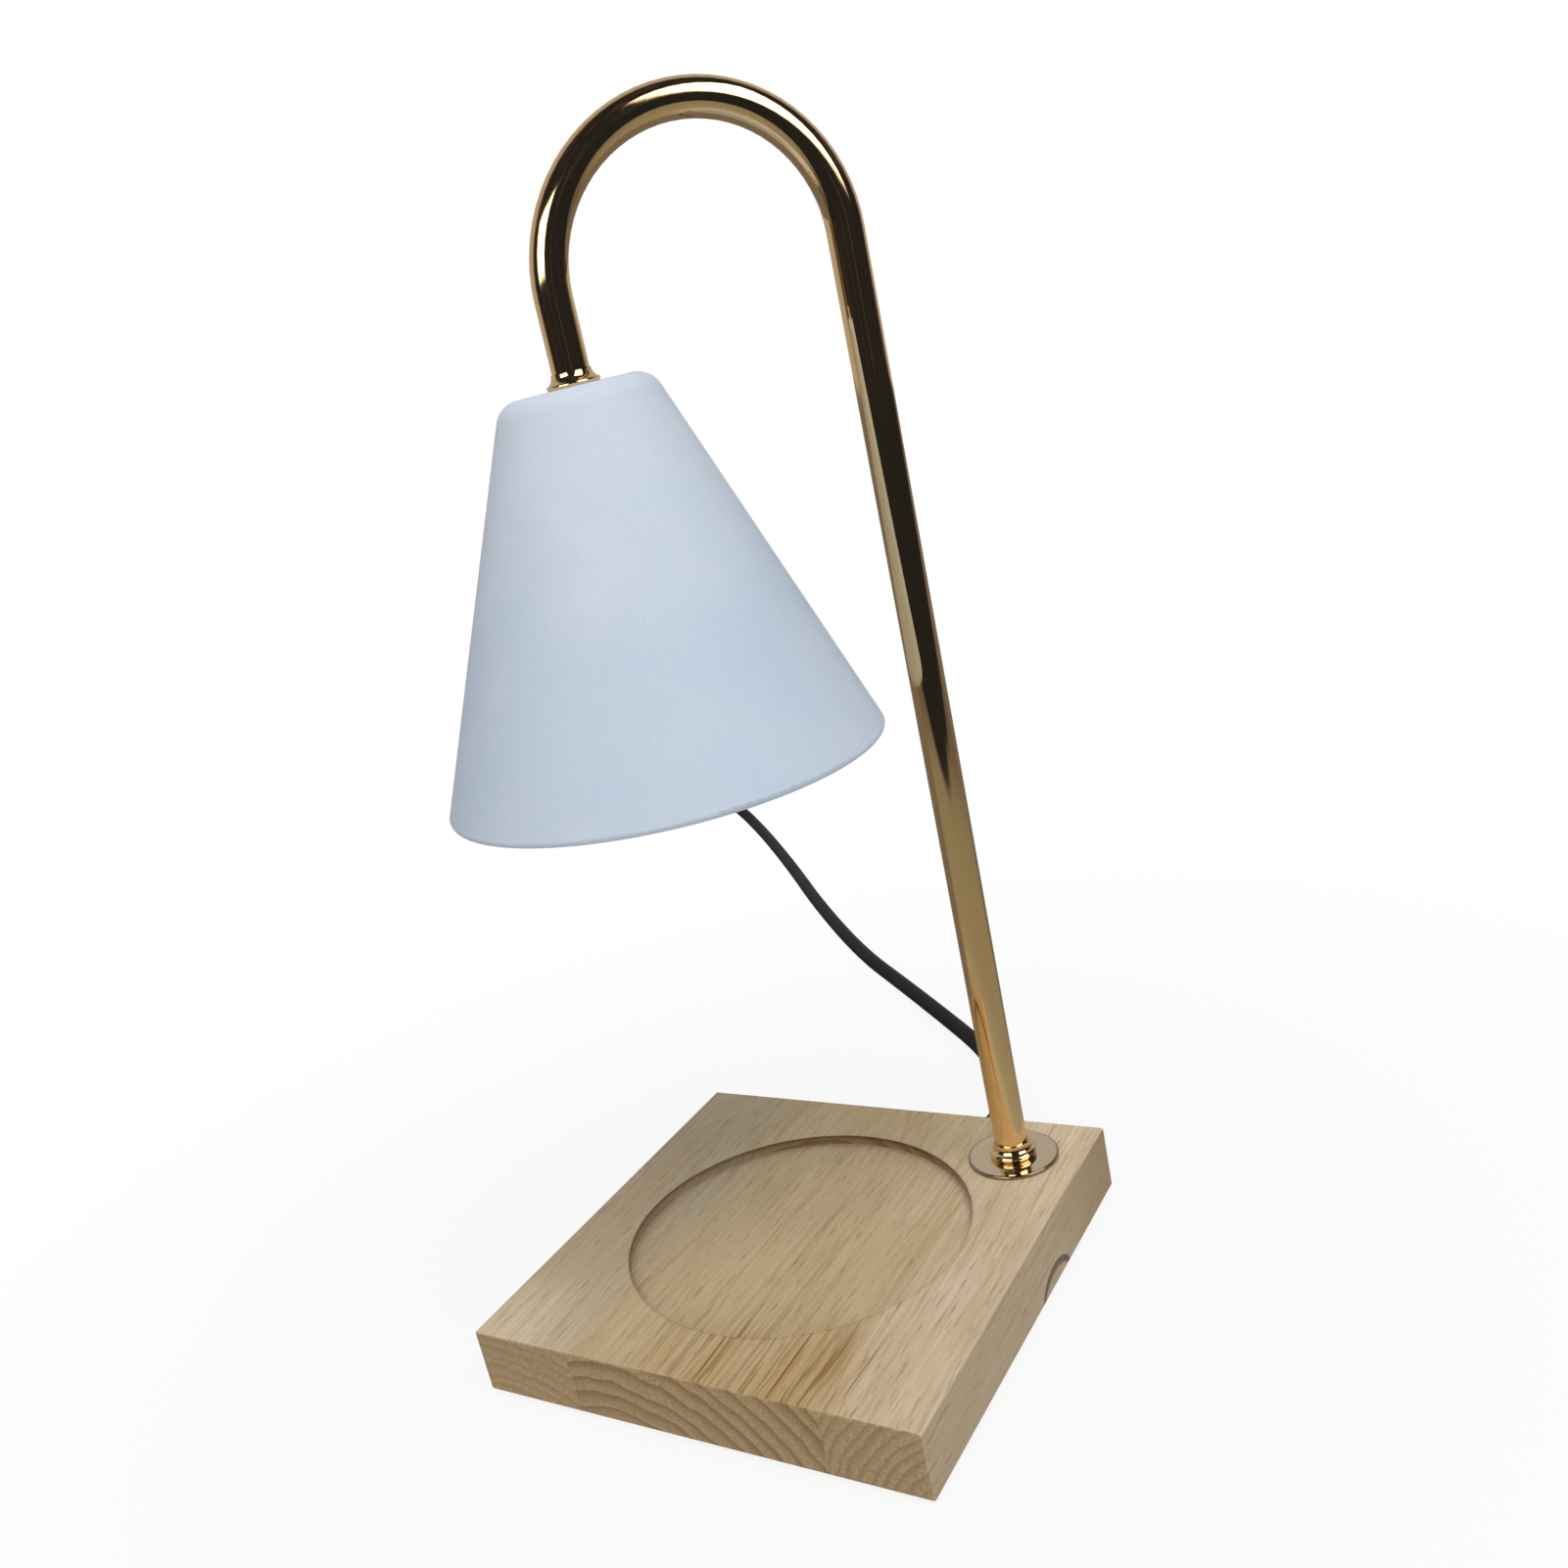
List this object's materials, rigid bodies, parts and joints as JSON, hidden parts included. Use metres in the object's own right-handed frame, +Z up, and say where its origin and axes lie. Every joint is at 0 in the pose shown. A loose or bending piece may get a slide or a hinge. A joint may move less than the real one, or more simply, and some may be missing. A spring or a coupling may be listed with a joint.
{
  "type": "candle warmer lamp",
  "caption": "Table lamp that warms a jar candle from above: square wooden base with a round candle seat, gooseneck stem, conical metal shade over a twist-lock spot bulb, cord with dimmer wheel.",
  "frame": {"origin": "on the table under the middle of the square base", "axes": "+Z up, X and Y along the sides of the base; the stem stands in the +X +Y corner, -Y is the front, the cord leaves the +Y side"},
  "size_m": [0.4687, 0.6484, 0.3306],
  "materials": {
    "wood": "sanded, thin matt lacquer, straight grain",
    "rubber": "matt",
    "black_plate": "matt black",
    "zinc_steel": "zinc plated",
    "nylon": "natural nylon",
    "gold_metal": "polished, light gold plated",
    "satin_gold": "satin gold plated",
    "shade_paint": "fine-textured powder coat, pale blue grey",
    "ceramic": "unglazed ceramic",
    "brass": "bright",
    "reflector": "aluminised glass",
    "clear_glass": "clear",
    "brown_wire": "PVC insulation",
    "blue_wire": "PVC insulation",
    "black_pvc": "satin PVC sheath",
    "tie_nylon": "woven tie",
    "black_plastic": "fine spark texture",
    "wheel_plastic": "satin, fluted rim",
    "circuit_board": "solder-masked board"
  },
  "bodies": {
    "lamp": {"base_board": "wood", "rubber_feet": "rubber", "underside_cover": "black_plate", "cover_screws": "zinc_steel", "cord_anchorage": "nylon", "terminal_block": "nylon", "terminal_screws": "zinc_steel", "bay_screws": "zinc_steel", "stem_tube": "gold_metal", "stem_disc": "satin_gold", "stem_collar": "gold_metal", "base_washer": "zinc_steel", "spring_washer": "zinc_steel", "base_nut": "zinc_steel", "base_nipple": "zinc_steel", "shade_cap": "gold_metal", "shade_washer": "zinc_steel", "shade_nut": "zinc_steel", "shade_nipple": "zinc_steel", "shade": "shade_paint", "holder_strap": "zinc_steel", "lampholder": "ceramic", "holder_screws": "zinc_steel", "holder_contacts": "brass", "live_lead": "brown_wire", "neutral_lead": "blue_wire", "cord_cores": "brown_wire", "cord_gland": "black_pvc", "lamp_cord": "black_pvc", "coil_lead": "black_pvc", "plug_lead": "black_pvc", "cord_coil": "black_pvc", "coil_tie": "tie_nylon", "dimmer_lower_shell": "black_plastic", "dimmer_upper_shell": "black_plastic", "dimmer_board": "circuit_board", "dimmer_screws": "zinc_steel", "dimmer_sleeves": "black_pvc", "plug_body": "black_plastic", "plug_pins": "brass", "plug_sleeve": "black_pvc"},
    "bulb": {"bulb_neck": "ceramic", "bulb_reflector": "reflector", "bulb_lens": "clear_glass", "bulb_capsule": "clear_glass", "bulb_pins": "zinc_steel"},
    "dimmer_knob": {"dimmer_wheel": "wheel_plastic"}
  },
  "joints": [
    {"name": "bulb_twist", "type": "hinge", "parent": "lamp", "child": "bulb", "pos_m": [-0.0045, -0.0045, 0.2379], "axis": [0, 0, 1], "range_deg": [-20, 0]},
    {"name": "dimmer_turn", "type": "hinge", "parent": "lamp", "child": "dimmer_knob", "pos_m": [-0.32001, 0.45823, 0.009], "axis": [0, 0, 1], "range_deg": [0, 270]}
  ]
}
